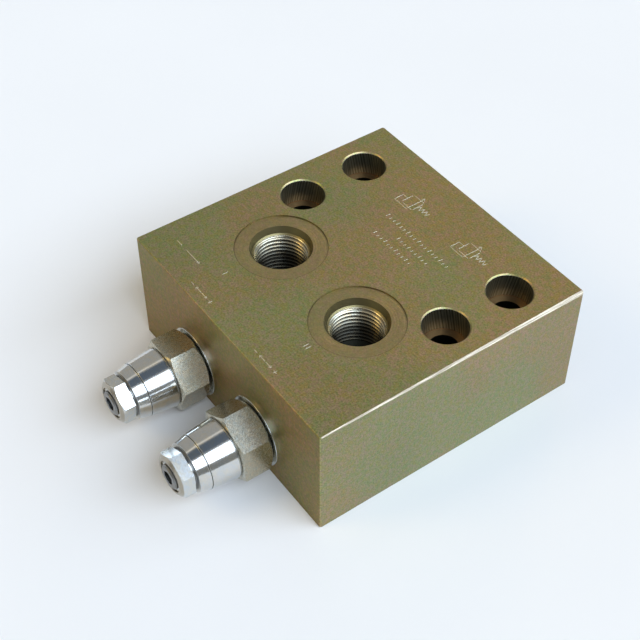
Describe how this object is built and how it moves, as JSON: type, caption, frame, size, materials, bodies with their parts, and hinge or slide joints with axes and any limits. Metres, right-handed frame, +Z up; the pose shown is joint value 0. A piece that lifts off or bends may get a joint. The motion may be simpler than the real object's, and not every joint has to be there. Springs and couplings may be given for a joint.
{
  "type": "cartridge valve",
  "caption": "Rectangular steel manifold block with adjustable screw-in relief cartridges on one side, threaded ports on top and counterbored mounting holes.",
  "frame": {"origin": "centre of the mounting-bolt rectangle, on the block's underside", "axes": "+Z up through the mounting face to the port face; +X across the block; the cartridges leave the -Y face"},
  "size_m": [0.12, 0.1556, 0.05],
  "materials": {
    "plated_block": "yellow-olive passivated zinc plate on machined steel",
    "bright_zinc": "bright zinc plate, satin",
    "polished_steel": "turned and polished, bright zinc plate",
    "dark_steel": "black oxide",
    "plain_steel": "machined steel",
    "hard_steel": "hardened and ground steel",
    "spring_steel": "oil-tempered spring wire",
    "rubber": "nitrile rubber",
    "white_plastic": "PTFE"
  },
  "bodies": {
    "valve": {"valve_block": "plated_block", "drilling_plugs": "plain_steel", "face_o_rings": "rubber", "sealing_washer_a": "bright_zinc", "washer_seal_a": "rubber", "cartridge_body_a": "bright_zinc", "bonnet_ring_a": "dark_steel", "bonnet_a": "polished_steel", "bonnet_o_ring_a": "rubber", "cage_a": "plain_steel", "seat_a": "hard_steel", "nose_o_ring_a": "rubber", "back_up_rings_a": "white_plastic", "spring_a": "spring_steel", "sealing_washer_b": "bright_zinc", "washer_seal_b": "rubber", "cartridge_body_b": "bright_zinc", "bonnet_ring_b": "dark_steel", "bonnet_b": "polished_steel", "bonnet_o_ring_b": "rubber", "cage_b": "plain_steel", "seat_b": "hard_steel", "nose_o_ring_b": "rubber", "back_up_rings_b": "white_plastic", "spring_b": "spring_steel"},
    "poppet_a": {"poppet_a": "hard_steel", "spring_cap_a": "plain_steel"},
    "follower_a": {"spring_follower_a": "plain_steel", "follower_o_ring_a": "rubber"},
    "screw_a": {"adjusting_screw_a": "dark_steel"},
    "washer_a": {"nut_washer_a": "rubber"},
    "nut_a": {"lock_nut_a": "bright_zinc"},
    "poppet_b": {"poppet_b": "hard_steel", "spring_cap_b": "plain_steel"},
    "follower_b": {"spring_follower_b": "plain_steel", "follower_o_ring_b": "rubber"},
    "screw_b": {"adjusting_screw_b": "dark_steel"},
    "washer_b": {"nut_washer_b": "rubber"},
    "nut_b": {"lock_nut_b": "bright_zinc"}
  },
  "joints": [
    {"name": "poppet_lift_a", "type": "slide", "parent": "valve", "child": "poppet_a", "axis": [0, -1, 0], "range_m": [0, 0.002], "stiffness_N_per_m": 3000, "springref_m": -0.0005, "deforming": ["spring_a"]},
    {"name": "follower_travel_a", "type": "slide", "parent": "valve", "child": "follower_a", "axis": [0, -1, 0], "range_m": [-0.0025, 0.0025], "deforming": ["spring_a"]},
    {"name": "screw_turn_a", "type": "hinge", "parent": "follower_a", "child": "screw_a", "pos_m": [-0.0204, -0.114, 0.0166], "axis": [0, -1, 0], "range_deg": [-720, 720]},
    {"name": "washer_travel_a", "type": "slide", "parent": "valve", "child": "washer_a", "axis": [0, -1, 0], "range_m": [0, 0.00125]},
    {"name": "lock_nut_turn_a", "type": "hinge", "parent": "washer_a", "child": "nut_a", "pos_m": [-0.0204, -0.114, 0.0166], "axis": [0, -1, 0], "range_deg": [0, 360]},
    {"name": "poppet_lift_b", "type": "slide", "parent": "valve", "child": "poppet_b", "axis": [0, -1, 0], "range_m": [0, 0.002], "stiffness_N_per_m": 3000, "springref_m": -0.0005, "deforming": ["spring_b"]},
    {"name": "follower_travel_b", "type": "slide", "parent": "valve", "child": "follower_b", "axis": [0, -1, 0], "range_m": [-0.0025, 0.0025], "deforming": ["spring_b"]},
    {"name": "screw_turn_b", "type": "hinge", "parent": "follower_b", "child": "screw_b", "pos_m": [0.0212, -0.114, 0.0166], "axis": [0, -1, 0], "range_deg": [-720, 720]},
    {"name": "washer_travel_b", "type": "slide", "parent": "valve", "child": "washer_b", "axis": [0, -1, 0], "range_m": [0, 0.00125]},
    {"name": "lock_nut_turn_b", "type": "hinge", "parent": "washer_b", "child": "nut_b", "pos_m": [0.0212, -0.114, 0.0166], "axis": [0, -1, 0], "range_deg": [0, 360]}
  ],
  "couplings": [
    {"joint": "follower_travel_a", "follows": "screw_turn_a", "m_per_rad": 0.00019894},
    {"joint": "washer_travel_a", "follows": "lock_nut_turn_a", "m_per_rad": 0.00019894},
    {"joint": "follower_travel_b", "follows": "screw_turn_b", "m_per_rad": 0.00019894},
    {"joint": "washer_travel_b", "follows": "lock_nut_turn_b", "m_per_rad": 0.00019894}
  ]
}
